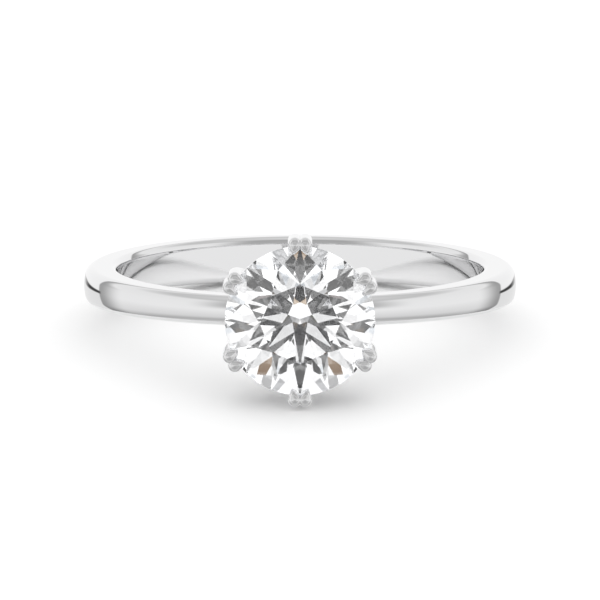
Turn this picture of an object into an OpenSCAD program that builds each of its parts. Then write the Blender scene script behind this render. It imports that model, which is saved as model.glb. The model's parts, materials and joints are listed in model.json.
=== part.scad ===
// Six-prong solitaire engagement ring: a tapering shank, a low basket head whose
// prongs are pairs of claws, and a round brilliant diamond.
// Millimetres. The finger hole's axis is Z and its centre is the origin. The head
// points along -Y. "Height" below means the distance from the finger's axis
// towards the head.

/* [Shank] */
// Radius of the finger hole
bore_r = 8.25; // [7:0.05:11]
// Thickness of the band, from the finger to the outside
band_t = 1.5; // [1.2:0.05:2]
// Width of the band at the back of the finger
band_w_back = 2.1; // [1.8:0.05:3]
// Width of the band under the head
band_w_head = 1.3; // [1.2:0.05:2]
// Rounding of the band's two outer edges
outer_edge_r = 0.45; // [0.2:0.01:0.55]
// Rounding of the band's two inner edges, for comfort
inner_edge_r = 0.3; // [0.1:0.01:0.4]
// Radius of the band's outside across its width
crown_r = 2.2; // [1.8:0.1:6]

/* [Diamond] */
// Diameter of the diamond at its girdle
stone_d = 6.5; // [5:0.1:8]
// Height of the middle of the girdle above the outside of the band
stone_lift = 2.3; // [2.2:0.05:4]
// Width of the table, as a share of the diameter
table_share = 0.53; // [0.5:0.01:0.62]
// Slope of the crown's main facets, in degrees
crown_angle = 34; // [30:0.5:36]
// Slope of the pavilion's main facets, in degrees
pavilion_angle = 40.8; // [39:0.1:42]
// Thickness of the girdle at the main facets
girdle_t = 0.2; // [0.15:0.01:0.3]
// Length of the star facets, as a share of the way from table to girdle
star_share = 0.5; // [0.4:0.01:0.6]
// Length of the lower half facets, as a share of the way from girdle to culet
lower_share = 0.77; // [0.7:0.01:0.85]

/* [Claws] */
// Number of prongs round the diamond
prong_count = 6; // [4:2:6]
// Diameter of one claw wire
claw_d = 0.62; // [0.5:0.01:0.7]
// Distance between the middles of a prong's two claws
claw_pitch = 0.44; // [0.36:0.01:0.5]
// How much of the wire's thickness the diamond's seat is cut into
seat_depth = 0.18; // [0.1:0.01:0.25]
// How far a claw's tip reaches in over the crown, from the girdle
claw_reach = 0.34; // [0.25:0.01:0.5]
// Height of a claw's head, above its straight sides
head_rise = 0.38; // [0.25:0.01:0.5]
// Depth of the shallow dish on top of each claw
dish_depth = 0.05; // [0:0.01:0.08]
// How far each of a pair's two tips leans away from the other
tip_spread = 0.1; // [0:0.01:0.15]
// Straight length of the claw below the girdle
claw_straight = 0.75; // [0.5:0.05:1.2]

/* [Basket] */
// Radius of the bend of a claw below its straight length
upper_bend_r = 2.4; // [1.8:0.1:3]
// How far the claw turns in that bend, in degrees
upper_bend_angle = 20; // [15:1:25]
// Radius of the tighter bend that brings the claw in to the base ring
lower_bend_r = 1.1; // [0.9:0.05:1.3]
// Inner radius of the base ring
base_r_in = 1.7; // [1.4:0.05:1.9]
// Outer radius of the base ring
base_r_out = 2.45; // [2.2:0.05:2.5]
// Height of the base ring, along the diamond's axis
base_h = 1.1; // [0.9:0.05:1.3]
// Thickness of the bridge of shank left under the base ring
bridge_t = 0.75; // [0.6:0.05:0.9]
// Diameter of the light hole through the bridge
light_hole_d = 0.6; // [0.4:0.05:0.7]
// How deep the gallery rail is let into the inner sides of the claws
rail_let_in = 0.056; // [0.03:0.002:0.1]
// Diameter of the gallery rail's wire
rail_d = 0.5; // [0.4:0.05:0.6]
// Depth of the gallery rail below the girdle
rail_depth = 1.35; // [1.2:0.05:1.5]

/* [Hidden] */
HOURS = [for (i = [0:prong_count - 1]) i == 0 ? 12 : i * 12 / prong_count];
SIDES = [["left", -1], ["right", 1]];

white_gold = "#dcdcde";
ice = "#eef3f7";
big = 40;                 // longer than any part of the ring
round_fn = 180;           // smoothness of the band and the bore
wire_fn = 48;             // smoothness of the wires and beads

// Shank
band_r = bore_r + band_t;
band_stations = 90;       // sections round the band
crown_steps = 4;          // straight pieces from the band's middle to its rounded edge
edge_steps = 5;           // and round its outer edge
inner_steps = 3;          // and round its inner edge
inner_turn = 165;         // where the bore takes over from the inner edge's rounding

// Diamond
stone_r = stone_d / 2;
girdle_y = band_r + stone_lift;
mains = 8;
half_step = 180 / mains;
table_r = stone_r * table_share;
crown_h = (stone_r - table_r) * tan(crown_angle);
pavilion_h = stone_r * tan(pavilion_angle);
girdle_half_h = girdle_t / 4;         // half the girdle where it is thinnest
girdle_steps = 8;         // straight pieces of girdle in each half facet

// Claws
claw_r = claw_d / 2;
claw_axis_r = stone_r + claw_r - seat_depth;
claw_sides = 16;
lower_bend_end = 85;      // how far a claw has turned where it meets the base ring
foot_tuck = 0.3;          // how far the wire runs on past the base ring's outside, which cuts it
lower_steps = 5;          // straight pieces of the lower bend
upper_steps = 3;          // and of the upper one
tip_taper = 0.35;         // how much a claw narrows towards its tip
tip_round = 0.8;          // how blunt the claw's head is, below 1 being blunter
rim_share = 0.5;          // size of the head's raised rim, as a share of the head
head_x = claw_axis_r - 0.02;          // distance of the head's top from the diamond's axis
head_foot = girdle_y + 0.28;          // height at which a claw's head begins
head_turns = [0, 25, 45, 65, 90];     // places of the rings up the outside of a claw's head
dish_shares = [0.65, 0.35];           // and of those in the dish on top of it, from its rim

// Basket
base_foot = bore_r + bridge_t;
base_top = base_foot + base_h;
ring_edge_r = min(0.25, (base_r_out - base_r_in) / 3);  // rounding of the ring's edges
rail_y = girdle_y - rail_depth;
solder_gap = 0.01;        // room for solder between the rail and each claw

// ---- frames ----

// Turns a shape built upwards along +Z, with its heights measured from the
// finger's axis, so that it stands along the head's axis.
module on_head() {
    rotate([90, 0, 0]) children();
}

// The place of a prong round the diamond's axis, counted like the hours of a
// clock whose face looks out along -Y.
function clock_angle(hour) = 90 - hour * 360 / 12;

// ---- shank ----

// Points along an arc, from one angle to another, as radius against height. With
// first at 1 it leaves out the point at its start.
function arc(centre, radius, from, to, steps, first = 0) =
    [for (k = [first:steps])
        let (a = from + (to - from) * k / steps)
        centre + radius * [cos(a), sin(a)]];

// Half the band's width where it crosses a direction from the finger's axis. It
// is widest at the back (90 degrees) and narrowest under the head.
function band_half_w(angle) =
    (band_w_back + band_w_head) / 4 + (band_w_back - band_w_head) / 4 * sin(angle);

// The upper half of the band's section, from the outside round both edges to the
// bore. The outside is one arc that runs smoothly into the edge's rounding, and the
// last point lies inside the bore, so that the bore is cut from it.
function band_half_section(half_w) =
    let (arc_x = band_r - crown_r,
         edge_z = half_w - outer_edge_r,
         edge_x = arc_x + sqrt(pow(crown_r - outer_edge_r, 2) - pow(edge_z, 2)),
         ray = atan2(edge_z, edge_x - arc_x),
         inner = [bore_r + inner_edge_r, half_w - inner_edge_r])
    concat(
        arc([arc_x, 0], crown_r, 0, ray, crown_steps, first = 1),
        arc([edge_x, edge_z], outer_edge_r, ray, 90, edge_steps, first = 1),
        arc(inner, inner_edge_r, 90, inner_turn, inner_steps),
        [[bore_r - inner_edge_r, inner[1]]]
    );

// The whole section, closed round: the outermost point, the upper half, and the
// lower half backwards.
function band_section(angle) =
    let (upper = band_half_section(band_half_w(angle)), n = len(upper))
    concat([[band_r, 0]], upper, [for (i = [n - 1:-1:0]) [upper[i][0], -upper[i][1]]]);

// The triangles between rows of points that lie one after another. Each row closes
// on itself, and where round is true the last row is joined to the first.
function strip_faces(rows, columns, round) =
    [for (i = [0:rows - (round ? 1 : 2)], j = [0:columns - 1])
        let (next = (i + 1) % rows, beside = (j + 1) % columns)
        each [[i * columns + j, i * columns + beside, next * columns + beside],
              [i * columns + j, next * columns + beside, next * columns + j]]];

module shank() {
    rows = [for (i = [0:band_stations - 1])
        let (a = i * 360 / band_stations)
        [for (p = band_section(a)) [p[0] * cos(a), p[0] * sin(a), p[1]]]];
    color(white_gold) difference() {
        polyhedron(points = [for (row = rows) each row],
                   faces = strip_faces(len(rows), len(rows[0]), true));
        cylinder(r = bore_r, h = big, center = true, $fn = round_fn);
        on_head() translate([0, 0, base_foot]) cylinder(r = base_r_out, h = big, $fn = round_fn);
        on_head() cylinder(d = light_hole_d, h = big, $fn = wire_fn);
    }
}

// ---- diamond ----

// The direction of a point round the diamond, and the point itself.
function stone_point(radius, angle, height) =
    [radius * cos(angle), radius * sin(angle), height];

// Height at which a plane through three points passes over a place.
function plane_height(a, b, c, x, y) =
    let (n = cross(b - a, c - a))
    a[2] - (n[0] * (x - a[0]) + n[1] * (y - a[1])) / n[2];

// Crown: the point where two stars, a main and two upper halves meet lies on a
// main facet, between two of the table's corners.
star_r = table_r + (stone_r - table_r) * star_share;
star_corner_h = let (r = star_r * cos(half_step)) (stone_r - r) * tan(crown_angle);
function crown_corner(angle) = stone_point(star_r, angle, girdle_t / 2 + star_corner_h);
function crown_edge(angle) = stone_point(stone_r, angle, girdle_t / 2);

// Pavilion: the point where two mains and two lower halves meet.
lower_r = stone_r * (1 - lower_share);
lower_corner_h = (lower_r * cos(half_step)) * tan(pavilion_angle);
function pavilion_corner(angle) =
    stone_point(lower_r, angle, lower_corner_h - pavilion_h - girdle_t / 2);
function pavilion_edge(angle) = stone_point(stone_r, angle, -girdle_t / 2);

// The girdle's two edges, where the half facets run out into its round wall.
function girdle_top(angle, main, side) =
    let (p = stone_point(stone_r, angle, 0),
         top = crown_edge(main),
         corner = crown_corner(main + side * half_step),
         low = stone_point(stone_r, main + side * half_step, girdle_half_h))
    [p[0], p[1], plane_height(top, corner, low, p[0], p[1])];
function girdle_foot(angle, main, side) =
    let (p = stone_point(stone_r, angle, 0),
         foot = pavilion_edge(main),
         corner = pavilion_corner(main + side * half_step),
         high = stone_point(stone_r, main + side * half_step, -girdle_half_h))
    [p[0], p[1], plane_height(foot, corner, high, p[0], p[1])];

stone_points = concat(
    [for (i = [0:mains - 1]) stone_point(table_r, i * 2 * half_step, girdle_t / 2 + crown_h)],
    [for (i = [0:mains - 1]) crown_corner((2 * i + 1) * half_step)],
    [for (i = [0:mains - 1], side = [-1, 1], k = [0:girdle_steps])
        girdle_top(i * 2 * half_step + side * k * half_step / girdle_steps, i * 2 * half_step, side)],
    [for (i = [0:mains - 1], side = [-1, 1], k = [0:girdle_steps])
        girdle_foot(i * 2 * half_step + side * k * half_step / girdle_steps, i * 2 * half_step, side)],
    [for (i = [0:mains - 1]) pavilion_corner((2 * i + 1) * half_step)],
    [[0, 0, -girdle_t / 2 - pavilion_h]]
);

module diamond() {
    color(ice) on_head() translate([0, 0, girdle_y]) hull()
        polyhedron(points = stone_points, faces = [[for (i = [0:len(stone_points) - 1]) i]]);
}

// The round envelope of the diamond, to which the claws' seats are cut.
module stone_seat() {
    on_head() translate([0, 0, girdle_y]) rotate_extrude($fn = round_fn) polygon([
        [0, -girdle_t / 2 - pavilion_h],
        [stone_r, -girdle_t / 2],
        [stone_r, girdle_t / 2],
        [table_r, girdle_t / 2 + crown_h],
        [0, girdle_t / 2 + crown_h],
    ]);
}

// ---- claws ----

// A bend of the claw's centre line, as distance from the diamond's axis, height and
// lean of the wire. With first at 1 it leaves out the point at its start.
function bend_line(centre, radius, from, to, steps, first = 0) =
    [for (k = [first:steps])
        let (a = from + (to - from) * k / steps)
        [centre[0] + radius * cos(a), centre[1] - radius * sin(a), a]];
straight_foot = girdle_y - claw_straight;
upper_centre = [claw_axis_r - upper_bend_r, straight_foot];
lower_centre = upper_centre
    + (upper_bend_r - lower_bend_r) * [cos(upper_bend_angle), -sin(upper_bend_angle)];

// The claw's centre line up to its straight stretch. It starts inside the base ring,
// whose outside cuts it, and rises through a tight bend and an easier one.
lower_bend = bend_line(lower_centre, lower_bend_r, lower_bend_end, upper_bend_angle, lower_steps);
claw_foot_x = base_r_out - foot_tuck;
claw_foot_drop = (lower_bend[0][0] - claw_foot_x) / tan(lower_bend_end);
claw_line = concat(
    [[claw_foot_x, lower_bend[0][1] - claw_foot_drop, lower_bend_end]],
    lower_bend,
    bend_line(upper_centre, upper_bend_r, upper_bend_angle, 0, upper_steps, first = 1)
);

// A ring of points round the wire, square to its centre line.
function wire_ring(place) =
    [for (k = [0:claw_sides - 1])
        let (a = 360 * k / claw_sides)
        [place[0] + claw_r * cos(a) * cos(place[2]),
         claw_r * sin(a),
         place[1] - claw_r * cos(a) * sin(place[2])]];

// A level ring of points through the claw's head, share being its size against the
// head's foot and rise its height above that. The ring's inner end narrows to a point
// that leans outwards, away from the other claw of the pair.
function head_ring(share, rise) =
    let (outer = claw_axis_r + claw_r - head_x,
         inner = head_x - (stone_r - claw_reach))
    [for (k = [0:claw_sides - 1])
        let (a = 360 * k / claw_sides,
             c = cos(a),
             inward = max(0, -c))
        [head_x + share * (c > 0 ? outer : inner) * c,
         share * claw_r * sin(a) * (1 - tip_taper * inward)
             + tip_spread * share * inward * inward,
         head_foot + rise]];

// One claw, as the right-hand one of the pair on the +X side of the diamond's axis,
// standing along +Z.
module claw_wire() {
    rows = concat(
        [for (place = claw_line) wire_ring(place)],
        [for (t = head_turns)
            head_ring(rim_share + (1 - rim_share) * pow(cos(t), tip_round), head_rise * sin(t))],
        [for (u = dish_shares)
            head_ring(rim_share * u, head_rise - dish_depth * pow(1 - u * u, 2))]
    );
    top = [[head_x, 0, head_foot + head_rise - dish_depth]];
    n = len(rows);
    last = (n - 1) * claw_sides;
    polyhedron(
        points = concat([for (row = rows) each row], top),
        faces = concat(
            strip_faces(n, claw_sides, false),
            [[for (k = [claw_sides - 1:-1:0]) k]],
            [for (k = [0:claw_sides - 1])
                [last + k, last + (k + 1) % claw_sides, n * claw_sides]]
        )
    );
}

// A claw with its seat cut and its foot fitted to the base ring. side is -1 for a
// prong's left claw and 1 for its right one, seen from outside with the diamond
// facing up.
module claw(hour, side) {
    color(white_gold) difference() {
        claw_blank(hour, side);
        stone_seat();
        on_head() cylinder(r = base_r_out, h = base_top, $fn = round_fn);
    }
}

// A claw before its seat is cut, filed flat where it meets the other of its pair.
module claw_blank(hour, side) {
    on_head() rotate([0, 0, clock_angle(hour)]) intersection() {
        translate([0, side * claw_pitch / 2, 0]) mirror([0, side < 0 ? 1 : 0, 0]) claw_wire();
        translate([0, side < 0 ? -big : 0, 0]) cube(big);
    }
}

// ---- basket ----

module base_ring() {
    color(white_gold) on_head() rotate_extrude($fn = round_fn) base_section();
}

// The base ring's section, a bar with all four edges rounded.
module base_section() {
    wall = base_r_out - base_r_in;
    translate([base_r_in, base_foot + ring_edge_r]) square([wall, base_h - 2 * ring_edge_r]);
    translate([base_r_in + ring_edge_r, base_foot]) square([wall - 2 * ring_edge_r, base_h]);
    for (x = [base_r_in + ring_edge_r, base_r_out - ring_edge_r],
         y = [base_foot + ring_edge_r, base_top - ring_edge_r])
        translate([x, y]) circle(r = ring_edge_r, $fn = wire_fn);
}

// Where a claw passes the gallery rail: its lean, and its middle's distance from the
// diamond's axis.
rail_lean = asin(max(0, straight_foot - rail_y) / upper_bend_r);
rail_claw_x = upper_centre[0] + upper_bend_r * cos(rail_lean);

// The gallery rail, notched where the claws pass.
module gallery_rail() {
    color(white_gold) difference() {
        on_head() translate([0, 0, rail_y]) rotate_extrude($fn = round_fn)
            translate([rail_claw_x - claw_r + rail_let_in - rail_d / 2, 0])
                circle(d = rail_d, $fn = wire_fn);
        for (hour = HOURS, side = SIDES) rail_notch(hour, side[1]);
    }
}

// The notch for one claw, at the claw's own lean.
module rail_notch(hour, side) {
    on_head() rotate([0, 0, clock_angle(hour)])
        translate([rail_claw_x, side * claw_pitch / 2, rail_y])
            rotate([0, rail_lean, 0])
                cylinder(r = claw_r + solder_gap, h = 3 * rail_d, center = true, $fn = wire_fn);
}

// ---- the ring ----

shank();
base_ring();
gallery_rail();
diamond();
for (hour = HOURS, side = SIDES)
    claw(hour, side[1]);
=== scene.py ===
import json
import math

import bmesh
import bpy
from bpy.props import FloatProperty, FloatVectorProperty, IntProperty, PointerProperty
from mathutils import Matrix, Vector


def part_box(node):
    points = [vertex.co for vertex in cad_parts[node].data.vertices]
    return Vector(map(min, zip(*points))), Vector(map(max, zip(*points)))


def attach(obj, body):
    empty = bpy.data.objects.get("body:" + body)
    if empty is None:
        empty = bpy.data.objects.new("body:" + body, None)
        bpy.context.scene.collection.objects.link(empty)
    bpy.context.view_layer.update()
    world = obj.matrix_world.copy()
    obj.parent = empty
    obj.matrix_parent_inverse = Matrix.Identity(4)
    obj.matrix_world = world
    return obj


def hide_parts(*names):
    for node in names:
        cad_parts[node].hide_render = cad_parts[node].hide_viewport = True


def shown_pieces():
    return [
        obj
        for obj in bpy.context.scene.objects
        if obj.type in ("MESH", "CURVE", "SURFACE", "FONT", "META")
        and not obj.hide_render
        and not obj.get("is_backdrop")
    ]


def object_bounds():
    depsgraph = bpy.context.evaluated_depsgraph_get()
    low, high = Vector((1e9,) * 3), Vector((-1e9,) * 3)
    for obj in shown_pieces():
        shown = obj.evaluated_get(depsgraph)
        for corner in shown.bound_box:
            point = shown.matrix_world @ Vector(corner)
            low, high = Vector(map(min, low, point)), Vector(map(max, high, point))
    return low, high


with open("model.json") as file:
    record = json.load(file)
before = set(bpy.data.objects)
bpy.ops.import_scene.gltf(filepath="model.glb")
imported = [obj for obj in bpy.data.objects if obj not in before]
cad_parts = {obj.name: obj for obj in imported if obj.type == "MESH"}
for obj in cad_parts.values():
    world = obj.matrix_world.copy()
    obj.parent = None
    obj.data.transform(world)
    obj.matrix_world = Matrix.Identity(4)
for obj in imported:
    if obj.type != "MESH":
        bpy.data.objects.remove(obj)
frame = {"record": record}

bl_info = {
    "name": "Solitaire ring",
    "version": (1, 0, 0),
    "blender": (4, 5, 0),
    "location": "3D View > Sidebar > Solitaire ring",
    "description": "Builds the looks of a six-prong solitaire ring round its CAD frame",
    "category": "Object",
}

# The frame is in metres. X runs across the diamond, Z along the finger, and the
# diamond stands on the -Y side of the finger hole.
MM = 0.001
ROOT = "root"
HOURS = (12, 2, 4, 6, 8, 10)
# The studio's side walls, as (degrees up, brightness): bright at eye level, darker
# towards floor and ceiling, and a little lighter again beyond.
WALLS = ((-60, 0.65), (-42, 0.5), (-6, 1.0), (40, 0.95), (54, 0.65), (90, 0.85))
CAD_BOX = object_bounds()
BORE = next(m for m in frame["record"]["mounts"] if m["name"] == "finger_bore")
SHANK_LOW, SHANK_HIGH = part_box("shank")
STONE_LOW, STONE_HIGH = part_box("diamond")
BASE_LOW, BASE_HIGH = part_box("base_ring")
RAIL_LOW, RAIL_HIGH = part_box("gallery_rail")
JOIN_DISTANCE = 1e-8  # points nearer than this are one point
AXIS_R = 1e-6         # stands for a radius of nothing in a turned section


# ---- settings ----

def size_property(name, text, default):
    """A length in metres."""
    return FloatProperty(name=name, description=text, default=default, min=0.0,
                         precision=5, subtype="DISTANCE", unit="LENGTH")


def angle_property(name, text, degrees):
    """An angle, given in degrees."""
    return FloatProperty(name=name, description=text, default=math.radians(degrees),
                         subtype="ANGLE", unit="ROTATION")


def share_property(name, text, default):
    """A share from 0 to 1."""
    return FloatProperty(name=name, description=text, default=default, min=0.0, max=1.0,
                         subtype="FACTOR")


def colour_property(name, text, default):
    """A linear colour."""
    return FloatVectorProperty(name=name, description=text, default=default, size=3,
                               min=0.0, max=1.0, subtype="COLOR")


class ShankSettings(bpy.types.PropertyGroup):
    """Sizes of the finger band."""

    bore_r: size_property("Bore radius", "Radius of the finger hole", BORE["dims"]["r_mm"] * MM)
    band_r: size_property("Band radius", "Outer radius of the band", SHANK_HIGH.x)
    width_back: size_property("Width at the back", "Band width at the back of the finger",
                              SHANK_HIGH.z - SHANK_LOW.z)
    width_head: size_property("Width at the head", "Band width under the diamond", 1.3 * MM)
    crown_r: size_property("Crown radius", "Radius of the outside across its width", 2.2 * MM)
    outer_edge_r: size_property("Outer edge", "Rounding of the outer edges", 0.45 * MM)
    inner_edge_r: size_property("Inner edge", "Rounding of the inner edges", 0.3 * MM)
    light_hole_r: size_property("Light hole radius", "Hole through the bridge", 0.3 * MM)
    stations: IntProperty(name="Stations", description="Sections round the band", default=288)


class DiamondSettings(bpy.types.PropertyGroup):
    """Proportions of the round brilliant."""

    radius: size_property("Radius", "Girdle radius", STONE_HIGH.x)
    girdle: size_property("Girdle", "Girdle thickness at the mains", 0.2 * MM)
    table: share_property("Table", "Table width as a share of the diameter", 0.53)
    star: share_property("Stars", "Star length as a share of the crown", 0.5)
    lower: share_property("Lower halves", "Lower half length as a share", 0.77)
    crown_angle: angle_property("Crown angle", "Slope of the crown mains", 34.0)
    pavilion_angle: angle_property("Pavilion angle", "Slope of the pavilion mains", 40.8)
    tint: colour_property("Tint", "Colour of the stone", (0.985, 0.99, 1.0))


class HeadSettings(bpy.types.PropertyGroup):
    """Sizes of the basket and its claws."""

    claw_r: size_property("Claw radius", "Radius of one claw wire", 0.31 * MM)
    pitch: size_property("Claw pitch", "Distance between a prong's two claws", 0.44 * MM)
    seat: size_property("Seat depth", "How far the diamond is let into a claw", 0.18 * MM)
    straight: size_property("Straight length", "Straight claw below the girdle", 0.75 * MM)
    reach: size_property("Reach", "How far a claw's tip reaches over the crown", 0.34 * MM)
    head_foot: size_property("Head foot", "Height of the claw's head above the girdle", 0.28 * MM)
    head_rise: size_property("Head rise", "Height of the claw's head itself", 0.38 * MM)
    rim: share_property("Rim", "Size of the head's raised rim, as a share of the head", 0.5)
    dish: size_property("Dish", "Depth of the dish on top of each claw", 0.05 * MM)
    spread: size_property("Tip spread", "How far each tip leans outwards", 0.1 * MM)
    upper_bend_r: size_property("Upper bend", "Radius of the easy bend", 2.4 * MM)
    lower_bend_r: size_property("Lower bend", "Radius of the tight bend", 1.1 * MM)
    upper_turn: angle_property("Upper turn", "Turn of the easy bend", 20.0)
    lower_turn: angle_property("Lower turn", "Lean of the claw at the base ring", 85.0)
    tip_taper: share_property("Tip taper", "How much a claw narrows towards its tip", 0.35)
    tip_round: share_property("Tip round", "Bluntness of a claw's head, blunter below 1", 0.8)
    top_shift: size_property("Top shift", "How far in the head's top stands", 0.02 * MM)
    ring_wall: size_property("Ring wall", "Thickness of the base ring's wall", 0.75 * MM)
    ring_edge_r: size_property("Ring edge", "Rounding of the base ring's edges", 0.25 * MM)


class StudioSettings(bpy.types.PropertyGroup):
    """The metal's finish, the camera and the light."""

    metal: colour_property("White gold", "Colour of the polished metal", (0.80, 0.80, 0.805))
    polish: share_property("Polish", "Roughness of the polished metal", 0.035)
    distance: size_property("Camera distance", "From the ring's centre to the camera", 270 * MM)
    elevation: angle_property("Camera elevation", "Above the band's plane", 7.75)
    aim_drop: size_property("Aim drop", "How far below the ring's centre the camera aims",
                            0.76 * MM)
    lens: FloatProperty(name="Lens", description="Focal length in millimetres",
                        default=358.6, subtype="DISTANCE_CAMERA")
    floor_r: size_property("Floor radius", "Radius of the floor", 400 * MM)
    under_r: size_property("Near floor", "Radius of the floor that the metal sees", 10.5 * MM)
    tent: FloatProperty(name="Tent", description="Brightness of the tent over the floor",
                        default=1.17, min=0.0)
    sparkle: FloatProperty(name="Sparkle", description="Brightness that the diamond gathers",
                           default=1.5, min=0.0)
    fire: FloatProperty(name="Fire", description="How far apart the diamond throws the colours, "
                        "in degrees", default=0.14, min=0.0)
    shade_up: angle_property("Shade height", "How high the camera's dark shade stands", 18.0)
    shade_r: angle_property("Shade size", "How wide the camera's dark shade is", 23.0)


# ---- shader expressions ----

class Socket:
    """An output socket in a node tree, with arithmetic that adds Math nodes."""

    def __init__(self, tree, out):
        self.tree = tree
        self.out = out

    def node(self, kind, settings=None, **inputs):
        """Any node. Settings come first, then sockets by name or as i0, i1 and so on by number.

        out picks the output that the result stands for.
        """
        made = self.tree.nodes.new(kind)
        pick = inputs.pop("out", 0)
        for name, value in (settings or {}).items():
            if name == "ramp":
                set_ramp(made.color_ramp, value)
            else:
                setattr(made, name, value)
        for name, value in inputs.items():
            key = int(name[1:]) if name[1:].isdigit() else name.replace("_", " ")
            slot = made.inputs[key]
            if isinstance(value, Socket):
                self.tree.links.new(value.out, slot)
            else:
                slot.default_value = value
        return Socket(self.tree, made.outputs[pick])

    def math(self, operation, *values):
        """One Math node on up to three values."""
        return self.node("ShaderNodeMath", {"operation": operation},
                         **{f"i{k}": v for k, v in enumerate(values)})

    def vector(self, operation, *values, out=0):
        """One Vector Math node."""
        return self.node("ShaderNodeVectorMath", {"operation": operation}, out=out,
                         **{f"i{k}": v for k, v in enumerate(values)})

    def __add__(self, other):
        return self.math("ADD", self, other)

    def __radd__(self, other):
        return self.math("ADD", other, self)

    def __sub__(self, other):
        return self.math("SUBTRACT", self, other)

    def __rsub__(self, other):
        return self.math("SUBTRACT", other, self)

    def __mul__(self, other):
        return self.math("MULTIPLY", self, other)

    def __rmul__(self, other):
        return self.math("MULTIPLY", other, self)

    def __truediv__(self, other):
        return self.math("DIVIDE", self, other)

    def smooth(self, low, high):
        """0 below low, 1 above high, and a smooth step between them."""
        return self.node("ShaderNodeMapRange", {"interpolation_type": "SMOOTHSTEP"},
                         Value=self, From_Min=low, From_Max=high)

    def fade(self, low, high):
        """1 below low, 0 above high, and a smooth step between them."""
        return 1.0 - self.smooth(low, high)

    def split(self, vector):
        """The three parts of a vector."""
        parts = self.node("ShaderNodeSeparateXYZ", i0=vector)
        return [Socket(self.tree, out) for out in parts.out.node.outputs]


def set_ramp(ramp, stops):
    """Fills a colour ramp from (place, brightness) stops."""
    while len(ramp.elements) < len(stops):
        ramp.elements.new(1.0)
    for element, (place, value) in zip(ramp.elements, stops):
        element.position = place
        element.color = (value, value, value, 1.0)


def new_material(name):
    """A material with an empty tree, as (material, tree's starting socket)."""
    material = bpy.data.materials.new(name)
    material.use_nodes = True
    material.node_tree.nodes.clear()
    return material, Socket(material.node_tree, None)


def surface_to_output(start, surface):
    """Joins a shader to the material's output."""
    end = start.tree.nodes.new("ShaderNodeOutputMaterial")
    start.tree.links.new(surface.out, end.inputs["Surface"])


def white_gold_material(studio):
    """Mirror-polished white gold with faint wheel marks that run round the finger."""
    name = "white_gold_polished"
    if name in bpy.data.materials:
        return bpy.data.materials[name]
    across, along = 9000.0, 6.0  # marks to a metre across the band, and to a radian round it
    material, start = new_material(name)
    place = start.node("ShaderNodeTexCoord", out=3)
    x, y, z = start.split(place)
    out_from_finger = start.math("SQRT", x * x + y * y)
    marks_at = start.node("ShaderNodeCombineXYZ", i0=out_from_finger * across,
                          i1=start.math("ARCTAN2", y, x) * along, i2=z * across)
    marks = start.node("ShaderNodeTexNoise", Vector=marks_at, Scale=1.0, Detail=3.0, Roughness=0.6)
    haze = start.node("ShaderNodeTexNoise", Vector=place, Scale=650.0, Detail=2.0)
    wear = marks.smooth(0.45, 0.8) * 0.35 + haze.smooth(0.35, 0.75) * 0.4
    roughness = wear * studio.polish + studio.polish * 0.6
    bump = start.node("ShaderNodeBump", Height=marks * MM, Strength=0.006, Distance=0.02)
    surface = start.node("ShaderNodeBsdfPrincipled", Base_Color=(*studio.metal, 1.0),
                         Metallic=1.0, Roughness=roughness, Normal=bump)
    surface_to_output(start, surface)
    return material


def diamond_material(stone):
    """Clear diamond: it bends light by 2.417 and each facet is polished."""
    material, start = new_material("diamond_clear")
    surface = start.node("ShaderNodeBsdfPrincipled", Base_Color=(*stone.tint, 1.0),
                         Roughness=0.0, IOR=2.417, Transmission_Weight=1.0)
    surface_to_output(start, surface)
    return material


def floor_material():
    """Matt white paper."""
    material, start = new_material("floor_white")
    surface = start.node("ShaderNodeBsdfDiffuse", Color=(0.95, 0.95, 0.95, 1.0))
    surface_to_output(start, surface)
    return material


# ---- mesh helpers ----

def on_head(x, y, height):
    """A point given across the head's axis and by its height above the finger's axis."""
    return Vector((x, -height, y))


def add_piece(name, mesh, material, slot, *nodes):
    """Puts a finished mesh in the scene as a piece that stands for CAD nodes."""
    piece = bpy.data.objects.new(name, mesh)
    bpy.context.scene.collection.objects.link(piece)
    mesh.materials.clear()
    mesh.materials.append(material)
    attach(piece, ROOT)
    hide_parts(*nodes)
    return piece


def mesh_from(name, points, faces):
    """A mesh from points and faces, with outward normals and doubled points joined."""
    work = bmesh.new()
    placed = [work.verts.new(p) for p in points]
    for face in faces:
        work.faces.new([placed[k] for k in face])
    bmesh.ops.remove_doubles(work, verts=work.verts, dist=JOIN_DISTANCE)
    bmesh.ops.recalc_face_normals(work, faces=work.faces)
    mesh = bpy.data.meshes.new(name)
    work.to_mesh(mesh)
    work.free()
    return mesh


def loop_faces(rows, columns, closed):
    """Quads over a strip of rings; closed joins the last ring to the first."""
    faces = []
    for i in range(rows if closed else rows - 1):
        following = (i + 1) % rows
        for j in range(columns):
            beside = (j + 1) % columns
            faces.append((i * columns + j, i * columns + beside,
                          following * columns + beside, following * columns + j))
    return faces


def cut_away(mesh, *cutters):
    """The mesh with each cutter mesh taken out of it, by exact booleans."""
    scene = bpy.context.scene
    body = bpy.data.objects.new("cut_body", mesh)
    scene.collection.objects.link(body)
    tools = []
    for cutter in cutters:
        tool = bpy.data.objects.new("cut_tool", cutter)
        scene.collection.objects.link(tool)
        tools.append(tool)
        modifier = body.modifiers.new("cut", "BOOLEAN")
        modifier.operation = "DIFFERENCE"
        modifier.solver = "EXACT"
        modifier.object = tool
    bpy.context.view_layer.update()
    shape = body.evaluated_get(bpy.context.evaluated_depsgraph_get())
    result = bpy.data.meshes.new_from_object(shape)
    for made in (body, *tools):
        bpy.data.objects.remove(made)
    return result


def shade(mesh, degrees):
    """Smooth shading with edges sharper than this kept sharp."""
    mesh.shade_smooth()
    mesh.set_sharp_from_angle(angle=math.radians(degrees))


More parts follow.
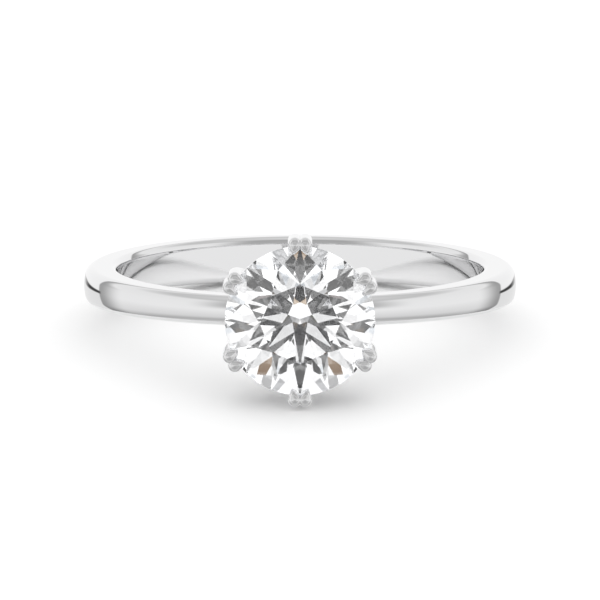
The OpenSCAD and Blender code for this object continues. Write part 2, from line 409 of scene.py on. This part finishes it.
def lathe(name, section, steps):
    """A closed section, as (radius, height), turned round the head's axis."""
    points = []
    for i in range(steps):
        a = math.tau * i / steps
        points += [on_head(r * math.cos(a), r * math.sin(a), h) for r, h in section]
    return mesh_from(name, points, loop_faces(steps, len(section), True))


def rod(radius, low, high):
    """The section of a plain rod on the head's axis, between two heights."""
    return [(AXIS_R, low), (radius, low), (radius, high), (AXIS_R, high)]


def arc(centre, radius, start, end, steps):
    """Points along an arc between two angles in radians, both ends included."""
    return [
        (centre[0] + radius * math.cos(start + (end - start) * k / steps),
         centre[1] + radius * math.sin(start + (end - start) * k / steps))
        for k in range(steps + 1)
    ]


# ---- shank ----

def band_section(shank, angle):
    """The band's section where it crosses a direction from the finger's axis."""
    middle = (shank.width_back + shank.width_head) / 4
    half_w = middle + (shank.width_back - shank.width_head) / 4 * math.sin(angle)
    arc_x = shank.band_r - shank.crown_r
    edge_z = half_w - shank.outer_edge_r
    edge_x = arc_x + math.sqrt((shank.crown_r - shank.outer_edge_r) ** 2 - edge_z ** 2)
    ray = math.atan2(edge_z, edge_x - arc_x)
    inner = (shank.bore_r + shank.inner_edge_r, half_w - shank.inner_edge_r)
    upper = arc((arc_x, 0.0), shank.crown_r, 0.0, ray, 12)
    upper += arc((edge_x, edge_z), shank.outer_edge_r, ray, math.pi / 2, 16)[1:]
    upper += [(edge_x + (inner[0] - edge_x) * k / 6, half_w) for k in range(1, 6)]
    upper += arc(inner, shank.inner_edge_r, math.pi / 2, math.pi, 10)
    upper += [(shank.bore_r, inner[1] * (1 - k / 8)) for k in range(1, 9)]
    return upper[:-1] + [(r, -z) for r, z in reversed(upper[1:])]


def build_shank(shank, material):
    """The band, with its pocket for the base ring and its light hole."""
    points = []
    for i in range(shank.stations):
        a = math.tau * i / shank.stations
        section = band_section(shank, a)
        points += [(r * math.cos(a), r * math.sin(a), z) for r, z in section]
    band = mesh_from("shank", points, loop_faces(shank.stations, len(section), True))
    pocket = lathe("pocket", rod(BASE_HIGH.x, -BASE_HIGH.y, 2 * shank.band_r), 128)
    hole = lathe("hole", rod(shank.light_hole_r, 0.5 * shank.bore_r, shank.band_r), 48)
    mesh = cut_away(band, pocket, hole)
    shade(mesh, 30)
    return add_piece("shank_polished", mesh, material, "white_gold", "shank")


# ---- diamond ----

def diamond_faces(stone, grow=0.0):
    """Points and flat facets of a round brilliant on the head's axis.

    Each half facet meets the girdle along a curve of several short steps.
    """
    mains, steps = 8, 8
    half = math.pi / mains
    radius = stone.radius
    table_r = radius * stone.table
    rise = math.tan(stone.crown_angle)
    fall = math.tan(stone.pavilion_angle)
    star_r = table_r + (radius - table_r) * stone.star
    lower_r = radius * (1 - stone.lower)
    crown_top = stone.girdle / 2 + (radius - table_r) * rise
    culet_h = -stone.girdle / 2 - radius * fall
    star_h = stone.girdle / 2 + (radius - star_r * math.cos(half)) * rise
    lower_h = culet_h + lower_r * math.cos(half) * fall

    def at(r, angle, height):
        return Vector((r * math.cos(angle), r * math.sin(angle), height))

    def on_plane(a, b, c, angle):
        normal = (b - a).cross(c - a)
        p = at(radius, angle, 0.0)
        p.z = a.z - (normal.x * (p.x - a.x) + normal.y * (p.y - a.y)) / normal.z
        return p

    points, faces = [], []

    def add(p):
        points.append(p)
        return len(points) - 1

    table = [add(at(table_r, 2 * i * half, crown_top)) for i in range(mains)]
    star = [add(at(star_r, (2 * i + 1) * half, star_h)) for i in range(mains)]
    lower = [add(at(lower_r, (2 * i + 1) * half, lower_h)) for i in range(mains)]
    culet = add(Vector((0.0, 0.0, culet_h)))
    edges = []
    for sign, corner_r, corner_h in ((1, star_r, star_h), (-1, lower_r, lower_h)):
        ring = []
        for k in range(2 * mains * steps):
            step = k % (2 * steps)
            main = 2 * half * (k // (2 * steps) + (1 if step > steps else 0))
            side = -1 if step > steps else 1
            a = at(radius, main, sign * stone.girdle / 2)
            b = at(corner_r, main + side * half, corner_h)
            c = at(radius, main + side * half, sign * stone.girdle / 4)
            ring.append(add(on_plane(a, b, c, k * half / steps)))
        edges.append(ring)
    top, foot = edges
    count = len(top)
    faces.append(table)
    for i in range(mains):
        after, before = (i + 1) % mains, i - 1
        here = 2 * steps * i
        faces.append([table[i], star[i], table[after]])
        faces.append([table[i], star[before], top[here], star[i]])
        faces.append([culet, lower[i], foot[here], lower[before]])
        for ring, corner in ((top, star), (foot, lower)):
            faces.append([corner[i]] + [ring[(here + k) % count] for k in range(steps + 1)])
            faces.append([corner[i]] + [ring[(here + steps + k) % count] for k in range(steps + 1)])
    for k in range(count):
        beside = (k + 1) % count
        faces.append([top[k], top[beside], foot[beside], foot[k]])
    girdle_height = -(STONE_LOW.y + crown_top)
    scale = 1.0 + grow / radius
    placed = [on_head(p.x * scale, p.y * scale, girdle_height + p.z * scale) for p in points]
    return placed, faces


def build_diamond(stone, material):
    """The round brilliant, every facet flat."""
    points, faces = diamond_faces(stone)
    mesh = mesh_from("diamond", points, faces)
    mesh.shade_flat()
    return add_piece("diamond_brilliant", mesh, material, "diamond", "diamond")


# ---- head ----

def build_base_ring(head, material):
    """The basket's lower ring, a bar with rounded edges."""
    outer = BASE_HIGH.x
    inner = outer - head.ring_wall
    foot, top = -BASE_HIGH.y, -BASE_LOW.y
    e = head.ring_edge_r
    quarter = math.pi / 2
    section = []
    for k, (r, h) in enumerate(((outer - e, top - e), (inner + e, top - e),
                                (inner + e, foot + e), (outer - e, foot + e))):
        section += arc((r, h), e, k * quarter, (k + 1) * quarter, 12)
    mesh = lathe("base_ring", section, 192)
    shade(mesh, 50)
    return add_piece("base_ring_polished", mesh, material, "white_gold", "base_ring")


def build_rail(material):
    """The gallery rail, a round wire inside the claws."""
    wire_r = (RAIL_HIGH.y - RAIL_LOW.y) / 2
    middle = (RAIL_HIGH.x - wire_r, -(RAIL_HIGH.y + RAIL_LOW.y) / 2)
    mesh = lathe("gallery_rail", arc(middle, wire_r, 0.0, math.tau, 40)[:-1], 192)
    shade(mesh, 50)
    return add_piece("gallery_rail_polished", mesh, material, "white_gold", "gallery_rail")


def claw_rings(stone, head, girdle, sides):
    """Rings of points up one claw, on the +X side of the head's axis and standing along +Z."""
    axis_r = stone.radius + head.claw_r - head.seat
    foot = girdle - head.straight
    turn = head.upper_turn
    upper = (axis_r - head.upper_bend_r, foot)
    shift = head.upper_bend_r - head.lower_bend_r
    lower = (upper[0] + shift * math.cos(turn), upper[1] - shift * math.sin(turn))
    line = []
    lower_steps, upper_steps, head_steps, dish_steps = 15, 8, 16, 10
    for k in range(lower_steps):
        a = head.lower_turn + (turn - head.lower_turn) * k / lower_steps
        line.append((lower[0] + head.lower_bend_r * math.cos(a),
                     lower[1] - head.lower_bend_r * math.sin(a), a))
    for k in range(upper_steps + 1):
        a = turn * (1 - k / upper_steps)
        line.append((upper[0] + head.upper_bend_r * math.cos(a),
                     upper[1] - head.upper_bend_r * math.sin(a), a))
    head_foot = girdle + head.head_foot
    line += [(axis_r, foot + (head_foot - foot) * k / 6, 0.0) for k in range(1, 4)]
    rings = []
    around = [math.tau * k / sides for k in range(sides)]
    for r, h, lean in line:
        rings.append([
            Vector((r + head.claw_r * math.cos(a) * math.cos(lean), head.claw_r * math.sin(a),
                    h - head.claw_r * math.cos(a) * math.sin(lean)))
            for a in around
        ])
    middle = axis_r - head.top_shift
    outer = axis_r + head.claw_r - middle
    inner = middle - (stone.radius - head.reach)
    rise = head.head_rise
    turns = [math.pi / 2 * k / head_steps for k in range(head_steps + 1)]
    steps = [(head.rim + (1 - head.rim) * max(0.0, math.cos(t)) ** head.tip_round,
              rise * math.sin(t)) for t in turns]
    dish_places = [k / dish_steps for k in range(dish_steps - 1, 0, -1)]
    steps += [(head.rim * u, rise - head.dish * (1 - u ** 2) ** 2) for u in dish_places]
    for shrink, height in steps:
        ring = []
        for a in around:
            c = math.cos(a)
            inward = max(0.0, -c)
            width = shrink * head.claw_r * math.sin(a) * (1 - head.tip_taper * inward)
            ring.append(Vector((
                middle + shrink * (outer if c > 0 else inner) * c,
                width + head.spread * shrink * inward * inward,
                head_foot + height,
            )))
        rings.append(ring)
    return rings, Vector((middle, 0.0, head_foot + rise - head.dish))


def claw_mesh(stone, head, side, angle, cutter):
    """One claw of a pair, filed flat against the other, with the diamond's seat cut."""
    sides = 40
    girdle = -(STONE_LOW.y + stone.girdle / 2
               + stone.radius * (1 - stone.table) * math.tan(stone.crown_angle))
    rings, top = claw_rings(stone, head, girdle, sides)
    points = [p for ring in rings for p in ring] + [top]
    last = (len(rings) - 1) * sides
    faces = loop_faces(len(rings), sides, False)
    faces.append(tuple(reversed(range(sides))))
    faces += [(last + k, last + (k + 1) % sides, len(points) - 1) for k in range(sides)]
    work = bmesh.new()
    placed = [work.verts.new(p) for p in points]
    for face in faces:
        work.faces.new([placed[k] for k in face])
    filed = bmesh.ops.bisect_plane(
        work, geom=work.verts[:] + work.edges[:] + work.faces[:], dist=JOIN_DISTANCE,
        plane_co=(0.0, -head.pitch / 2, 0.0), plane_no=(0.0, -1.0, 0.0), clear_outer=True)
    rim = [g for g in filed["geom_cut"] if isinstance(g, bmesh.types.BMEdge)]
    bmesh.ops.triangle_fill(work, edges=rim, use_beauty=True)
    turn = Matrix.Rotation(angle, 4, "Z")
    for v in work.verts:
        p = Vector((v.co.x, v.co.y + head.pitch / 2, v.co.z))
        if side < 0:
            p.y = -p.y
        p = turn @ p
        v.co = on_head(p.x, p.y, p.z)
    bmesh.ops.recalc_face_normals(work, faces=work.faces)
    mesh = bpy.data.meshes.new("claw")
    work.to_mesh(mesh)
    work.free()
    mesh = cut_away(mesh, cutter.copy())
    shade(mesh, 38)
    return mesh


def build_claws(stone, head, material):
    """Six prongs, each a pair of claws drawn over the diamond's crown."""
    clearance = 0.002 * MM
    points, faces = diamond_faces(stone, grow=clearance)
    cutter = mesh_from("seat", points, faces)
    for hour in HOURS:
        angle = math.radians(90 - hour * 30)
        for word, side in (("left", -1), ("right", 1)):
            mesh = claw_mesh(stone, head, side, angle, cutter)
            node = f"claw_{hour}_{word}"
            add_piece(f"{node}_polished", mesh, material, "white_gold", node)


# ---- stage ----

def resting_plane():
    """Slope and height of the surface that the claws and the band's back touch."""
    points = [
        (p.y, p.z)
        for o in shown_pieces() if o.type == "MESH"
        for p in (o.matrix_world @ v.co for v in o.data.vertices)
    ]
    front = [p for p in points if p[0] < -SHANK_HIGH.x]
    back = [p for p in points if p[0] > 0]
    slope = 0.0
    for _ in range(4):
        touch = min(front, key=lambda p: p[1] - slope * p[0])
        slope = min((p[1] - touch[1]) / (p[0] - touch[0]) for p in back)
    return slope, touch[1] - slope * touch[0]


def lay_disc(name, radius, centre_y, slope, height, material):
    """A round piece of floor on the resting plane, out of sight for the diamond's light."""
    steps = 128
    points = [(0.0, centre_y, height + slope * centre_y)]
    for k in range(steps):
        a = math.tau * k / steps
        y = centre_y + radius * math.sin(a)
        points.append((radius * math.cos(a), y, height + slope * y))
    faces = [(0, k + 1, (k + 1) % steps + 1) for k in range(steps)]
    mesh = mesh_from(name, points, faces)
    mesh.materials.append(material)
    disc = bpy.data.objects.new(name, mesh)
    bpy.context.scene.collection.objects.link(disc)
    disc.visible_transmission = False
    disc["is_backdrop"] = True
    return disc


def build_floor(studio):
    """A wide matt floor. Only the part of it under the ring shows in the metal."""
    slope, height = resting_plane()
    middle = (CAD_BOX[0].y + CAD_BOX[1].y) / 2
    material = floor_material()
    floor = lay_disc("floor", studio.floor_r, middle, slope, height, material)
    floor.visible_glossy = False
    lift = 0.001 * MM
    lay_disc("floor_under_ring", studio.under_r, 0.0, slope, height + lift, material)


def metal_light(start, around, up, camera_up):
    """Brightness that the metal sees, by degrees round from the camera and degrees up.

    Two windows stand behind the ring, one above the other, in a dark frame. The side
    walls darken towards floor and ceiling. A grey screen and a small dark stand are in
    front, the stand where the diamond's table would mirror the camera's side.
    """
    gap, gap_half, gap_end = -5.3, 0.6, 1.7
    half_width, above, below, squareness = 46.0, 36.0, 31.0, 3.0
    lower_window, upper_window = 0.88, 1.04
    frame_left = 0.42
    gap_dark, stand_dark, screen_dark = 0.93, 0.85, 0.5

    aside = (180.0 - around) / half_width
    high = start.math("MAXIMUM", (up - gap) / above, (gap - up) / below)
    edge = start.math("POWER", start.math("POWER", aside, squareness)
                      + start.math("POWER", high, squareness), 1 / squareness)
    outside = edge.smooth(0.97, 1.015)
    window = lower_window + up.smooth(-8.0, -2.0) * (upper_window - lower_window)
    stops = [((degrees + 90.0) / 180.0, value) for degrees, value in WALLS]
    walls = start.node("ShaderNodeValToRGB", {"ramp": stops}, Fac=(up + 90.0) / 180.0)
    reach = (edge - 1.0) * (1.0 + up.smooth(15.0, 35.0) * 1.8)
    walls = walls * (frame_left + reach.smooth(0.02, 0.55) * (1.0 - frame_left))
    line = start.math("ABSOLUTE", up - gap).fade(gap_half, gap_end)
    line = line * around.smooth(131.0, 135.0) * around.fade(150.0, 174.0)
    stand = around.fade(3.0, 4.0) * start.math("ABSOLUTE", up + camera_up).fade(3.0, 4.0)
    screen = around.fade(30.0, 65.0) * up.smooth(-5.0, 4.0) * up.fade(45.0, 62.0)
    metal = (walls * outside + window * (1.0 - outside)) * (1.0 - line * gap_dark)
    return metal * (1.0 - stand * stand_dark) * (1.0 - screen * screen_dark)


def diamond_light(start, direction, around, studio):
    """Colour that the diamond gathers.

    It sees the camera's dark shade, grey round it, and two dark posts at each side. The
    edges lie a little apart in red, green and blue, as a diamond's fire has them.
    """
    posts = ((44.0, 0.65), (71.0, 0.6))  # degrees round from the camera, and darkness
    post_half, post_end = 4.0, 9.0
    grey_width, grey_dark = 23.0, 0.35
    darkest = 0.975

    shade_way = Vector((0.0, -math.cos(studio.shade_up), math.sin(studio.shade_up)))
    off_shade = start.math("ARCCOSINE", start.vector("DOT_PRODUCT", direction, shade_way, out=1))
    off_shade = off_shade * math.degrees(1)
    glow = []
    for shift in (-studio.fire, 0.0, studio.fire):
        size = math.degrees(studio.shade_r) + shift
        dark = off_shade.fade(size - 1.0, size + 1.0)
        grey = off_shade.fade(size + 1.0, size + grey_width) * grey_dark
        dark = start.math("MAXIMUM", dark, grey)
        for post, depth in posts:
            off_post = start.math("ABSOLUTE", around - post)
            post_shade = off_post.fade(post_half - shift, post_end - shift) * depth
            dark = start.math("MAXIMUM", dark, post_shade)
        glow.append(studio.sparkle * (1.0 - dark * darkest))
    return start.node("ShaderNodeCombineColor", i0=glow[0], i1=glow[1], i2=glow[2])


def build_light(studio):
    """A white studio whose panels the metal and the diamond each see in their own way."""
    world = bpy.data.worlds.new("studio")
    bpy.context.scene.world = world
    world.use_nodes = True
    world.cycles.sampling_method = "NONE"
    world.node_tree.nodes.clear()
    start = Socket(world.node_tree, None)
    direction = start.node("ShaderNodeTexCoord", out=0)
    x, y, z = start.split(direction)
    around = start.math("ABSOLUTE", start.math("ARCTAN2", x, -1.0 * y)) * math.degrees(1)
    up = start.math("ARCSINE", z) * math.degrees(1)
    metal = metal_light(start, around, up, math.degrees(studio.elevation))
    stone = diamond_light(start, direction, around, studio)

    path = start.node("ShaderNodeLightPath")
    rays = {name: Socket(start.tree, path.out.node.outputs[name])
            for name in ("Is Camera Ray", "Is Glossy Ray", "Is Transmission Ray")}
    backdrop_more = 0.2
    tent = studio.tent + rays["Is Camera Ray"] * backdrop_more
    plain = tent + rays["Is Glossy Ray"] * (metal - tent)
    grey = start.node("ShaderNodeCombineColor", i0=plain, i1=plain, i2=plain)
    mixed = start.node("ShaderNodeMix", {"data_type": "RGBA"}, out=2,
                       i0=rays["Is Transmission Ray"], i6=grey, i7=stone)
    shine = start.node("ShaderNodeBackground", Color=mixed, Strength=1.0)
    end = start.tree.nodes.new("ShaderNodeOutputWorld")
    start.tree.links.new(shine.out, end.inputs["Surface"])


def build_camera(studio):
    """A long lens a little above the band's plane, in front of the diamond."""
    data = bpy.data.cameras.new("camera")
    data.lens = studio.lens
    data.sensor_width = 36.0
    data.clip_start = 0.01
    data.clip_end = 10.0
    camera = bpy.data.objects.new("camera", data)
    bpy.context.scene.collection.objects.link(camera)
    e = studio.elevation
    back = Vector((0.0, -math.cos(e), math.sin(e)))
    up = Vector((0.0, math.sin(e), math.cos(e)))
    camera.location = back * studio.distance
    aim = up * -studio.aim_drop
    camera.rotation_euler = (aim - camera.location).to_track_quat("-Z", "Y").to_euler()
    bpy.context.scene.camera = camera


def set_light_paths():
    """Enough bounces for light to find its way out of the diamond, in plain colours."""
    scene = bpy.context.scene
    scene.cycles.max_bounces = 40
    scene.cycles.transmission_bounces = 40
    scene.cycles.glossy_bounces = 12
    scene.cycles.diffuse_bounces = 4
    scene.view_settings.view_transform = "Standard"


# ---- operators ----

class RING_OT_shank(bpy.types.Operator):
    """Build the finger band"""

    bl_idname = "ring.shank"
    bl_label = "Build the shank"

    def execute(self, context):
        settings = context.scene
        build_shank(settings.ring_shank, white_gold_material(settings.ring_studio))
        return {"FINISHED"}


class RING_OT_base_ring(bpy.types.Operator):
    """Build the basket's base ring"""

    bl_idname = "ring.base_ring"
    bl_label = "Build the base ring"

    def execute(self, context):
        settings = context.scene
        build_base_ring(settings.ring_head, white_gold_material(settings.ring_studio))
        return {"FINISHED"}


class RING_OT_rail(bpy.types.Operator):
    """Build the gallery rail"""

    bl_idname = "ring.rail"
    bl_label = "Build the gallery rail"

    def execute(self, context):
        build_rail(white_gold_material(context.scene.ring_studio))
        return {"FINISHED"}


class RING_OT_claws(bpy.types.Operator):
    """Build the twelve claws"""

    bl_idname = "ring.claws"
    bl_label = "Build the claws"

    def execute(self, context):
        settings = context.scene
        metal = white_gold_material(settings.ring_studio)
        build_claws(settings.ring_diamond, settings.ring_head, metal)
        return {"FINISHED"}


class RING_OT_diamond(bpy.types.Operator):
    """Build the round brilliant diamond"""

    bl_idname = "ring.diamond"
    bl_label = "Build the diamond"

    def execute(self, context):
        stone = context.scene.ring_diamond
        build_diamond(stone, diamond_material(stone))
        return {"FINISHED"}


class RING_OT_studio(bpy.types.Operator):
    """Build the floor, the light and the camera"""

    bl_idname = "ring.studio"
    bl_label = "Build the studio"

    def execute(self, context):
        studio = context.scene.ring_studio
        build_floor(studio)
        build_light(studio)
        build_camera(studio)
        set_light_paths()
        return {"FINISHED"}


class RING_PT_panel(bpy.types.Panel):
    """The ring's settings and its build buttons"""

    bl_idname = "RING_PT_panel"
    bl_label = "Solitaire ring"
    bl_space_type = "VIEW_3D"
    bl_region_type = "UI"
    bl_category = "Solitaire ring"

    def draw(self, context):
        for group, (_, operators) in GROUPS.items():
            box = self.layout.box()
            for operator in operators:
                box.operator(operator.bl_idname)
            settings = getattr(context.scene, group)
            for name in settings.__annotations__:
                box.prop(settings, name)


# Each group of settings, with the operators that build from it.
GROUPS = {
    "ring_shank": (ShankSettings, (RING_OT_shank,)),
    "ring_head": (HeadSettings, (RING_OT_base_ring, RING_OT_rail, RING_OT_claws)),
    "ring_diamond": (DiamondSettings, (RING_OT_diamond,)),
    "ring_studio": (StudioSettings, (RING_OT_studio,)),
}
CLASSES = (
    *(settings for settings, _ in GROUPS.values()),
    *(operator for _, operators in GROUPS.values() for operator in operators),
    RING_PT_panel,
)


def register():
    for made in CLASSES:
        bpy.utils.register_class(made)
    for name, (settings, _) in GROUPS.items():
        setattr(bpy.types.Scene, name, PointerProperty(type=settings))


def unregister():
    for name in GROUPS:
        delattr(bpy.types.Scene, name)
    for made in reversed(CLASSES):
        bpy.utils.unregister_class(made)


def main():
    register()
    bpy.ops.ring.shank()
    bpy.ops.ring.base_ring()
    bpy.ops.ring.rail()
    bpy.ops.ring.claws()
    bpy.ops.ring.diamond()
    bpy.ops.ring.studio()
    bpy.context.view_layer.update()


if __name__ == "__main__":
    main()
